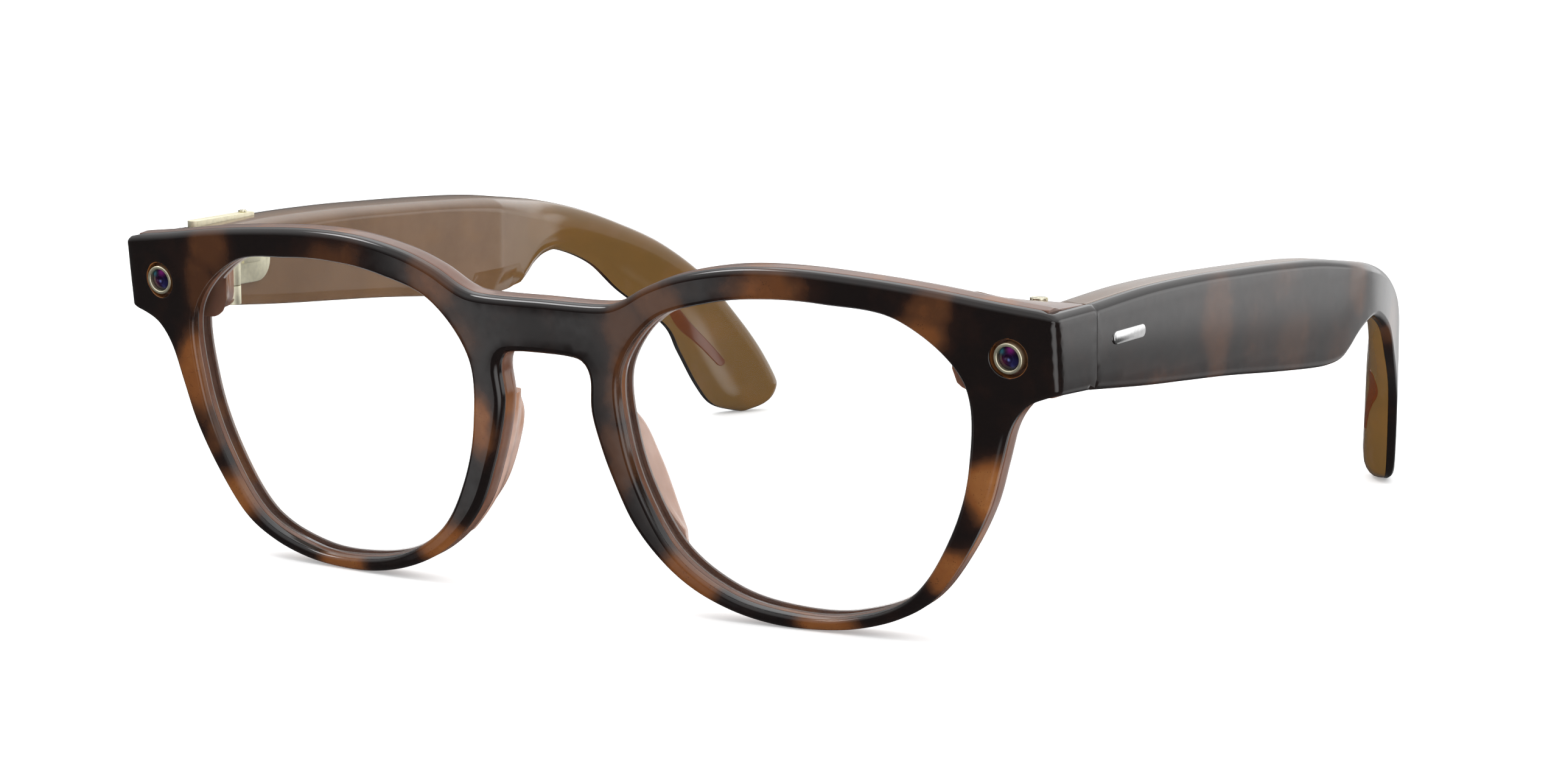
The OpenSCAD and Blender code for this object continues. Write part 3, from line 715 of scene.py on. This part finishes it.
def add_tortoise(piece, patches, seen, shift=0.0, glow=lambda points: 0.0):
    """Stores how amber each point is, with any painted glow merged in. seen turns a design point
    into the patches' plane.
    """
    noise.seed_set(NOISE_SEED)
    points = np.array([v.co for v in piece.data.vertices]) / MM + [0, MID_Y, -STAND_H]
    amber_and_painted_glow = np.zeros(len(points))
    for i, p in enumerate(points):
        x, z = seen(p)
        stir = noise.noise_vector(Vector((x * 0.16 + shift, z * 0.16, 3.1)))
        fine = noise.noise_vector(Vector((x * 0.55 + shift, z * 0.55, 7.7)))
        x, z = x + 1.7 * stir.x + 0.5 * fine.x, z + 1.7 * stir.y + 0.5 * fine.y
        for px, pz, wide, high, strength in patches:
            away = math.hypot((x - px) / wide, (z - pz) / high)
            amount = min(1, max(0, (1.5 - away) / 1.05))
            amber_and_painted_glow[i] = max(amber_and_painted_glow[i], strength * amount * amount * (3 - 2 * amount))
    # The painted recess glow goes into the same values as the amber pattern.
    amber_and_painted_glow = np.maximum(amber_and_painted_glow, glow(points))
    layer = piece.data.attributes.new("amber_and_painted_glow", "FLOAT", "POINT")
    layer.data.foreach_set("value", amber_and_painted_glow.astype(np.float32))


# ---- Materials -------------------------------------------------------------------------------

def add_node(tree, kind, links=(), **settings):
    """Adds a node with its settings, and with a link or a plain value for each input given."""
    made = tree.nodes.new(kind)
    for key, value in settings.items():
        setattr(made, key, value)
    for key, value in dict(links).items():
        if isinstance(value, bpy.types.NodeSocket):
            tree.links.new(value, made.inputs[key])
        else:
            made.inputs[key].default_value = value
    return made


def add_ramp(tree, value, stops):
    """Adds a colour ramp through the stops."""
    made = add_node(tree, "ShaderNodeValToRGB", {"Fac": value})
    band = made.color_ramp
    while len(band.elements) < len(stops):
        band.elements.new(1)
    for element, (at, colour) in zip(band.elements, stops):
        element.position, element.color = at, (*colour, 1)
    return made.outputs["Color"]


class Look:
    """A material with one Principled shader, and short calls that add its nodes."""

    def __init__(self, name, **settings):
        self.material = bpy.data.materials.new(name)
        self.material.use_nodes = True
        self.tree = self.material.node_tree
        self.shader = self.tree.nodes["Principled BSDF"]
        for key, value in settings.items():
            self.shader.inputs[key.replace("_", " ")].default_value = value
        self.place = self.node("ShaderNodeTexCoord").outputs["Object"]

    def node(self, kind, links=(), **settings):
        return add_node(self.tree, kind, links, **settings)

    def noise(self, scale, detail=3, rough=0.5, place=None):
        made = self.node("ShaderNodeTexNoise", {"Vector": place or self.place, "Scale": scale,
                                                "Detail": detail, "Roughness": rough})
        return made.outputs["Fac"]

    def stretched(self, x, y, z):
        return self.node("ShaderNodeMapping", {"Vector": self.place, "Scale": (x, y, z)}).outputs[0]

    def ramp(self, value, stops):
        return add_ramp(self.tree, value, stops)

    def math(self, operation, a, b=0.0):
        made = self.node("ShaderNodeMath", {0: a, 1: b}, operation=operation, use_clamp=True)
        return made.outputs[0]

    def span(self, value, low, high, to_low=0.0, to_high=1.0):
        return self.node("ShaderNodeMapRange", {"Value": value, "From Min": low, "From Max": high,
                                                "To Min": to_low, "To Max": to_high}).outputs[0]

    def mix(self, share, a, b):
        made = self.node("ShaderNodeMix", {"Factor": share}, data_type="RGBA")
        for key, value in ((6, a), (7, b)):
            if isinstance(value, bpy.types.NodeSocket):
                self.tree.links.new(value, made.inputs[key])
            else:
                made.inputs[key].default_value = (*value, 1)
        return made.outputs[2]

    def set(self, socket, value):
        self.tree.links.new(value, self.shader.inputs[socket])

    def bump(self, height, strength, distance):
        made = self.node("ShaderNodeBump", {"Height": height, "Strength": strength,
                                            "Distance": distance * MM})
        self.set("Normal", made.outputs[0])


def tortoise():
    """Dark acetate with smoky amber patches, fine dark specks in them, and a polished skin."""
    look = Look("tortoise_acetate", Specular_IOR_Level=0.46, IOR=1.49)
    # This attribute holds the amber pattern and the painted glow of the recess walls.
    amber_and_painted_glow = look.node("ShaderNodeAttribute", attribute_name="amber_and_painted_glow").outputs["Fac"]
    cloud = look.span(look.noise(260, 4, 0.6), 0.3, 0.7, -0.1, 0.1)
    amber_and_painted_glow = look.math("ADD", amber_and_painted_glow, look.math("MULTIPLY", cloud, 1.0))
    specks = look.node("ShaderNodeTexVoronoi", {"Vector": look.place, "Scale": 3600.0})
    near = look.span(specks.outputs["Distance"], 0.16, 0.3, 1, 0)
    patchy = look.span(look.noise(900, 2), 0.5, 0.62)
    edge = look.math("MULTIPLY", look.span(amber_and_painted_glow, 0.45, 0.6), look.span(amber_and_painted_glow, 0.75, 1.0, 1, 0.5))
    speck = look.math("MULTIPLY", look.math("MULTIPLY", near, patchy), edge)
    colour = look.ramp(amber_and_painted_glow, [(0, (0.0062, 0.0042, 0.0040)), (0.2, (0.014, 0.0065, 0.0048)),
                               (0.5, (0.062, 0.024, 0.010)), (0.8, (0.150, 0.052, 0.015)),
                               (1, (0.215, 0.085, 0.026))])
    speck = look.math("MULTIPLY", speck, 0.8)
    look.set("Base Color", look.mix(speck, colour, (0.02, 0.009, 0.005)))
    look.set("Roughness", look.span(look.noise(700, 3), 0.3, 0.7, 0.075, 0.13))
    look.bump(look.noise(1600, 2), 0.015, 0.02)
    return look.material


def acetate(name, pale, deep, glow, glow_share, hook=None):
    """See-through brown acetate: soft clouds, with painted glowing shapes where light is turned
    inside.
    """
    look = Look(name, Specular_IOR_Level=0.5, IOR=1.49, Subsurface_Weight=0.12,
                Subsurface_Scale=0.001)
    look.shader.inputs["Subsurface Radius"].default_value = (1.6, 0.7, 0.35)
    cloud = look.noise(90, 4, 0.6)
    colour = look.mix(look.span(cloud, 0.35, 0.65), deep, pale)
    if hook:
        height = look.node("ShaderNodeSeparateXYZ", {"Vector": look.place}).outputs["Y"]
        colour = look.mix(look.span(height, 0.006, 0.03), colour, hook)
    # Painted glow: amber shapes that stand for light turned inside the acetate.
    painted_glow_shapes = look.noise(1, 2, 0.4, look.stretched(160, 60, 130))
    light = look.math("MULTIPLY", look.span(painted_glow_shapes, 0.56, 0.68), glow_share)
    colour = look.mix(light, colour, glow)
    streak = look.noise(1, 3, 0.5, look.stretched(500, 120, 260))
    colour = look.mix(look.math("MULTIPLY", look.span(streak, 0.55, 0.75), 0.35), colour, pale)
    look.set("Base Color", colour)
    look.set("Roughness", look.span(look.noise(600, 3), 0.3, 0.7, 0.08, 0.15))
    look.bump(look.noise(1500, 2), 0.02, 0.02)
    return look.material


def metal(name, colour, low, high, grain, depth):
    """Satin metal with a fine cast grain."""
    look = Look(name, Metallic=1.0)
    tone = look.noise(1400, 3)
    look.set("Base Color", look.mix(look.span(tone, 0.3, 0.7), colour,
                                    tuple(0.86 * c for c in colour)))
    look.set("Roughness", look.span(look.noise(2500, 4, 0.6), 0.3, 0.7, low, high))
    look.bump(look.noise(grain, 3, 0.6), 0.35, depth)
    return look.material


def clear_lens():
    """Clear lens: light goes straight through, with a faint coated reflection."""
    look = Look("clear_lens", Roughness=0.02, Specular_IOR_Level=0.5)
    look.shader.inputs["Base Color"].default_value = (0.8, 0.82, 0.84, 1)
    through = look.node("ShaderNodeBsdfTransparent", {"Color": (0.985, 0.99, 0.99, 1)})
    gloss = look.node("ShaderNodeFresnel", {"IOR": 1.12}).outputs[0]
    smear = look.span(look.noise(40, 3), 0.3, 0.7, 0.0, 0.006)
    mixed = look.node("ShaderNodeMixShader", {0: look.math("ADD", gloss, smear)})
    look.tree.links.new(through.outputs[0], mixed.inputs[1])
    look.tree.links.new(look.shader.outputs[0], mixed.inputs[2])
    look.tree.links.new(mixed.outputs[0], look.tree.nodes["Material Output"].inputs["Surface"])
    return look.material


def ground_edge():
    """Finely ground rim of a lens: grey, half see-through."""
    look = Look("ground_edge", Roughness=0.3)
    look.set("Base Color", look.mix(look.noise(2500, 3), (0.60, 0.55, 0.53), (0.72, 0.68, 0.66)))
    look.set("Alpha", look.span(look.noise(60, 2), 0.3, 0.7, 0.4, 0.6))
    return look.material


def coated_glass():
    look = Look("coated_glass", Roughness=0.06, Specular_IOR_Level=0.25)
    # The colour attribute carries the window's painted reflections.
    tint = look.node("ShaderNodeAttribute", attribute_name="tint").outputs["Color"]
    dust = look.span(look.noise(5000, 2), 0.66, 0.75, 0, 0.01)
    look.set("Base Color", look.mix(dust, tint, (0.2, 0.2, 0.25)))
    return look.material


def plastic(name, colour, rough=0.4, metallic=0.0):
    """Plain moulded part, with slight mottling and a fine texture."""
    look = Look(name, Metallic=metallic)
    look.set("Base Color", look.mix(look.noise(300, 4), tuple(0.85 * c for c in colour),
                                    tuple(1.1 * c for c in colour)))
    look.set("Roughness", look.span(look.noise(1200, 3), 0.3, 0.7, rough - 0.05, rough + 0.08))
    look.bump(look.noise(3000, 3), 0.2, 0.02)
    return look.material


# ---- Building --------------------------------------------------------------------------------

def finish_piece(piece, body, material, slot, *nodes):
    piece.data.materials.clear()
    piece.data.materials.append(material)
    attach(piece, body)
    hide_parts(*nodes)
    return piece


LOOKS = {
    "outer_acetate": tortoise(),
    "inner_acetate": acetate("rose_acetate", (0.165, 0.078, 0.050), (0.105, 0.047, 0.029),
                             (0.26, 0.10, 0.030), 0.55),
    "temple_acetate": acetate("umber_acetate", (0.150, 0.082, 0.040), (0.118, 0.062, 0.028),
                              (0.18, 0.085, 0.022), 0.3, hook=(0.128, 0.069, 0.020)),
    "pad_acetate": acetate("pad_acetate", (0.52, 0.34, 0.27), (0.40, 0.24, 0.18),
                           (0.34, 0.13, 0.035), 0.7),
    "lens": clear_lens(),
    "gold_metal": metal("gold_metal", (0.94, 0.89, 0.68), 0.42, 0.56, 2600, 0.02),
    "screw_metal": metal("screw_metal", (0.72, 0.68, 0.52), 0.18, 0.3, 4200, 0.01),
    "ground_edge": ground_edge(),
    "coated_glass": coated_glass(),
    "black_plastic": plastic("black_plastic", (0.02, 0.02, 0.022)),
    "led_body": plastic("led_body", (0.75, 0.75, 0.7), 0.3),
    "silver_metal": metal("silver_metal", (0.6, 0.6, 0.62), 0.25, 0.4, 1800, 0.02),
    "bright_inlay": metal("bright_inlay", (0.82, 0.82, 0.82), 0.1, 0.18, 4000, 0.005),
    "flex_film": plastic("flex_film", (0.42, 0.16, 0.03), 0.35),
    "amber_core": plastic("amber_core", (0.10, 0.024, 0.004), 0.14),
    "cell_foil": plastic("cell_foil", (0.3, 0.31, 0.33), 0.35, 0.8),
    "board": plastic("board", (0.02, 0.09, 0.035), 0.45),
}


def grind_rim(blank, side):
    """Gives the faces of a lens that lie on the open part of its ground rim their own look."""
    blank.data.materials.append(LOOKS["ground_edge"])
    outline = loop(outward(OPENING, LENS_BITE)) * [side, 1] + [side * LENS_X, 0]
    rim = Edge([(np.vstack([outline, outline[:1]]), SHARP, SHARP)])
    centres = np.array([f.center for f in blank.data.polygons]) / MM + [0, MID_Y, -STAND_H]
    seen = np.stack([centres[:, 0], COS * centres[:, 2] - SIN * centres[:, 1]], axis=1)
    for polygon, away in zip(blank.data.polygons, distances(seen, [rim]).min(axis=1)):
        polygon.material_index = int(LENS_BITE - 0.1 < away < LENS_RIM[0])


def build_front():
    shell = front_outer()
    add_tortoise(shell, FRONT_PATCHES, lambda p: (p[0], COS * p[2] - SIN * p[1]), glow=painted_recess_glow)
    finish_piece(shell, "front", LOOKS["outer_acetate"], "outer_acetate", "front_outer_layer")
    finish_piece(front_inner(), "front", LOOKS["inner_acetate"], "inner_acetate",
                 "front_inner_layer")
    for side, word, eye in ((1, "left", "camera"), (-1, "right", "light")):
        blank = finish_piece(lens(side), "front", LOOKS["lens"], "lens", "lens_" + word)
        grind_rim(blank, side)
        finish_piece(nose_pad(side), "front", LOOKS["pad_acetate"], "pad_acetate",
                     "nose_pad_" + word)
        finish_piece(eye_ring(side, eye + "_ring_turned"), "front", LOOKS["gold_metal"],
                     "gold_metal", eye + "_ring")
        window = "camera_cover" if side > 0 else "light_window"
        finish_piece(eye_window(side, window + "_dome"), "front", LOOKS["coated_glass"],
                     "coated_glass", window)
        finish_piece(softened("hinge_front_" + word), "front", LOOKS["gold_metal"], "gold_metal",
                     "hinge_front_" + word)
    finish_piece(softened("hinge_screws", 0.05), "front", LOOKS["screw_metal"], "screw_metal",
                 "hinge_screws")


def build_temple(side, word):
    body = "temple_" + word
    skin = temple_outer(side, body + "_skin")
    add_tortoise(skin, TEMPLE_PATCHES, lambda p: (p[1], p[2]), shift=0.0 if side > 0 else 40.0)
    finish_piece(skin, body, LOOKS["outer_acetate"], "outer_acetate", "temple_outer_" + word)
    finish_piece(temple_inner(side, body + "_backing"), body, LOOKS["temple_acetate"],
                 "inner_acetate", "temple_inner_" + word)
    finish_piece(tip_core(side, "tip_core_" + word + "_strip"), body, LOOKS["amber_core"],
                 "amber_core", "tip_core_" + word)
    for node, slot, width in (("hinge_temple_", "gold_metal", 0.15),
                              ("plate_screw_", "screw_metal", 0.04),
                              ("inlay_", "bright_inlay", 0.12)):
        finish_piece(softened(node + word, width), body, LOOKS[slot], slot, node + word)


def build_controls():
    for node, body, slot, width in (("capture_button", "capture_button", "gold_metal", 0.2),
                                    ("button_stud", "capture_button", "screw_metal", 0.05),
                                    ("power_slider", "power_slider", "black_plastic", 0.12)):
        finish_piece(softened(node, width), body, LOOKS[slot], slot, node)


SEALED = {
    "camera_module": "black_plastic", "light_led": "led_body", "brow_flex": "flex_film",
    "bridge_microphone": "silver_metal", "contact_holder": "black_plastic",
    "charge_contacts": "gold_metal", "speaker_left": "black_plastic",
    "speaker_right": "black_plastic", "microphone_left": "silver_metal",
    "microphone_right": "silver_metal", "battery": "cell_foil", "power_switch": "black_plastic",
    "main_board": "board", "touch_pad": "flex_film", "capture_switch": "black_plastic"}


def paint_sealed_parts():
    for node, slot in SEALED.items():
        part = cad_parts[node]
        part.data.materials.clear()
        part.data.materials.append(LOOKS[slot])


# ---- Studio ----------------------------------------------------------------------------------

def build_floor():
    """A large pale floor, lit a little from below like a light table. Reflections don't show it."""
    side = 6.0
    mesh = bpy.data.meshes.new("floor")
    corners = [(-side, -side, 0), (side, -side, 0), (side, side, 0), (-side, side, 0)]
    mesh.from_pydata(corners, [], [(0, 1, 2, 3)])
    floor = bpy.data.objects.new("floor", mesh)
    bpy.context.scene.collection.objects.link(floor)
    look = Look("pale_floor", Roughness=0.9, Specular_IOR_Level=0.0, Emission_Strength=0.3)
    look.shader.inputs["Emission Color"].default_value = (1, 1, 1, 1)
    look.set("Base Color", look.mix(look.noise(3, 3), (0.90, 0.90, 0.90), (0.92, 0.92, 0.92)))
    mesh.materials.append(look.material)
    floor.visible_glossy = False


# Brightness of the sky from straight below, 0, to straight above, 1.
DOME = [(0.44, 0.06), (0.53, 0.22), (0.66, 0.5), (0.8, 1.0)]
DOME_LIGHT = 1.1
# Soft light cards round the object: direction, angular radius, softness in degrees, brightness.
CARDS = [
    ((-0.56, -0.15, 0.82), 8, 3, 10.0),             # over the front, for the bevels
    ((-0.62, -0.71, -0.342), 3.4, 1.0, 1.1),        # sheens on the bridge
    ((-0.545, -0.765, -0.342), 1.2, 0.7, 1.0),
    ((-0.47, -0.81, -0.342), 3.6, 1.5, 1.0),
    ((0.321, 0.557, 0.766), 58.7, 0.9, 0.5),        # behind and above, for the temple's flat side
    ((0.50, 0.865, 0.03), 7, 7, 1.2),               # brighter in the middle
    ((0.14, 0.97, -0.21), 16, 8, 0.62),             # below it, fainter
    ((0.88, -0.45, -0.165), 22, 14, 2.4),           # to the right, for the corner and the joint
    ((-0.17, 0.98, 0.05), 20, 3, 0.6),              # behind, for the temples' top edges
]


def build_world():
    world = bpy.data.worlds.new("studio")
    bpy.context.scene.world = world
    world.use_nodes = True
    tree = world.node_tree
    where = add_node(tree, "ShaderNodeTexCoord").outputs["Generated"]
    height = add_node(tree, "ShaderNodeSeparateXYZ", {"Vector": where}).outputs["Z"]
    share = add_node(tree, "ShaderNodeMapRange", {"Value": height, "From Min": -1}).outputs[0]
    dome = add_ramp(tree, share, [(at, (value, value, value)) for at, value in DOME])
    total = add_node(tree, "ShaderNodeMath", {0: dome, 1: DOME_LIGHT}, operation="MULTIPLY")
    for direction, radius, soft, bright in CARDS:
        toward = add_node(tree, "ShaderNodeVectorMath",
                          {0: where, 1: Vector(direction).normalized()}, operation="DOT_PRODUCT")
        card = add_node(tree, "ShaderNodeMapRange",
                        {"Value": toward.outputs["Value"],
                         "From Min": math.cos(math.radians(radius + soft)),
                         "From Max": math.cos(math.radians(max(0.5, radius - soft))),
                         "To Max": bright}, interpolation_type="SMOOTHSTEP")
        total = add_node(tree, "ShaderNodeMath", {0: total.outputs[0], 1: card.outputs[0]})
    background = tree.nodes["Background"].inputs
    background["Color"].default_value = (1, 1, 1, 1)
    tree.links.new(total.outputs[0], background["Strength"])


CAMERA_AT = (0.31225, -0.52673, 0.12088)
CAMERA_TILT, CAMERA_TURN = 9.5254, 31.2466      # degrees below level, and round from the front
CAMERA_LENS = 97.87


def build_camera():
    data = bpy.data.cameras.new("camera")
    data.lens, data.sensor_width = CAMERA_LENS, 36
    camera = bpy.data.objects.new("camera", data)
    camera.location = CAMERA_AT
    camera.rotation_euler = (math.radians(90 - CAMERA_TILT), 0, math.radians(CAMERA_TURN))
    bpy.context.scene.collection.objects.link(camera)
    bpy.context.scene.camera = camera
    bpy.context.scene.view_settings.view_transform = "Standard"


build_camera()
build_world()
build_floor()
build_front()
build_temple(1, "left")
build_temple(-1, "right")
build_controls()
paint_sealed_parts()
